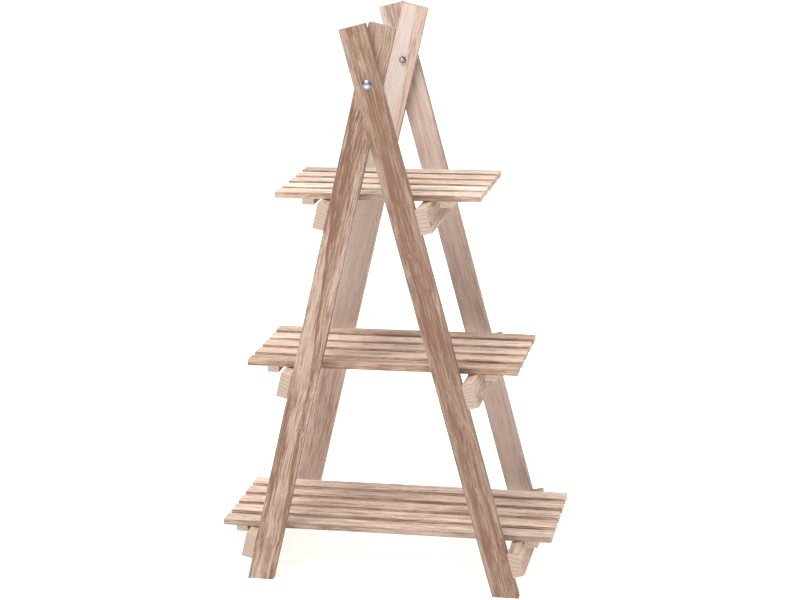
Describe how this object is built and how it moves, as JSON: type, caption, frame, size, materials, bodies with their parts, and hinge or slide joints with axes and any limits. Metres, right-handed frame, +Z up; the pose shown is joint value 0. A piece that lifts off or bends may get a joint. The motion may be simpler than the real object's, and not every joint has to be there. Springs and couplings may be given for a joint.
{
  "type": "folding ladder shelf",
  "caption": "Folding wooden A-frame ladder shelf: leaning leg frames crossed on pivot bolts, with slatted shelves lying loose on side rails, widening downward.",
  "frame": {"origin": "the middle of the footprint on the floor, below the pivot", "axes": "+Z up, +X to the right along the slats, +Y to the back along the rails; the outer frame's feet are at +X"},
  "size_m": [0.578, 0.3258, 0.9695],
  "materials": {
    "front_leg_wood": "sawn softwood, lightly singed brown, strong dark grain, unlacquered",
    "back_leg_wood": "pale pinkish beige planed wood, soft grain, unlacquered",
    "rail_wood": "pale planed wood with off-white end grain",
    "slat_wood": "pale peach planed wood with brown streaks",
    "batten_wood": "pale planed wood",
    "zinc_steel": "bright zinc plated"
  },
  "bodies": {
    "outer_frame": {"front_outer_leg": "front_leg_wood", "back_outer_leg": "back_leg_wood", "right_rail_top": "rail_wood", "right_rail_middle": "rail_wood", "right_rail_bottom": "rail_wood", "right_rail_top_screw_front": "zinc_steel", "right_rail_top_screw_back": "zinc_steel", "right_rail_middle_screw_front": "zinc_steel", "right_rail_middle_screw_back": "zinc_steel", "right_rail_bottom_screw_front": "zinc_steel", "right_rail_bottom_screw_back": "zinc_steel", "pivot_bolt_front": "zinc_steel", "pivot_bolt_back": "zinc_steel", "pivot_washer_front": "zinc_steel", "pivot_washer_back": "zinc_steel", "pivot_nut_front": "zinc_steel", "pivot_nut_back": "zinc_steel"},
    "inner_frame": {"front_inner_leg": "front_leg_wood", "back_inner_leg": "back_leg_wood", "left_rail_top": "rail_wood", "left_rail_middle": "rail_wood", "left_rail_bottom": "rail_wood", "left_rail_top_screw_front": "zinc_steel", "left_rail_top_screw_back": "zinc_steel", "left_rail_middle_screw_front": "zinc_steel", "left_rail_middle_screw_back": "zinc_steel", "left_rail_bottom_screw_front": "zinc_steel", "left_rail_bottom_screw_back": "zinc_steel"},
    "top_shelf": {"top_slat_1": "slat_wood", "top_slat_2": "slat_wood", "top_slat_3": "slat_wood", "top_slat_4": "slat_wood", "top_slat_5": "slat_wood", "top_batten_left": "batten_wood", "top_batten_right": "batten_wood"},
    "middle_shelf": {"middle_slat_1": "slat_wood", "middle_slat_2": "slat_wood", "middle_slat_3": "slat_wood", "middle_slat_4": "slat_wood", "middle_slat_5": "slat_wood", "middle_batten_left": "batten_wood", "middle_batten_right": "batten_wood"},
    "bottom_shelf": {"bottom_slat_1": "slat_wood", "bottom_slat_2": "slat_wood", "bottom_slat_3": "slat_wood", "bottom_slat_4": "slat_wood", "bottom_slat_5": "slat_wood", "bottom_batten_left": "batten_wood", "bottom_batten_right": "batten_wood"}
  },
  "joints": [
    {"name": "fold", "type": "hinge", "parent": "outer_frame", "child": "inner_frame", "pos_m": [0, 0, 0.871], "axis": [0, -1, 0], "range_deg": [0, 27.5]},
    {"name": "lift_top_shelf", "type": "slide", "parent": "outer_frame", "child": "top_shelf", "axis": [0, 0, 1], "range_m": [0, 0.32]},
    {"name": "lift_middle_shelf", "type": "slide", "parent": "outer_frame", "child": "middle_shelf", "axis": [0, 0, 1], "range_m": [0, 0.2]},
    {"name": "lift_bottom_shelf", "type": "slide", "parent": "outer_frame", "child": "bottom_shelf", "axis": [0, 0, 1], "range_m": [0, 0.2]}
  ]
}
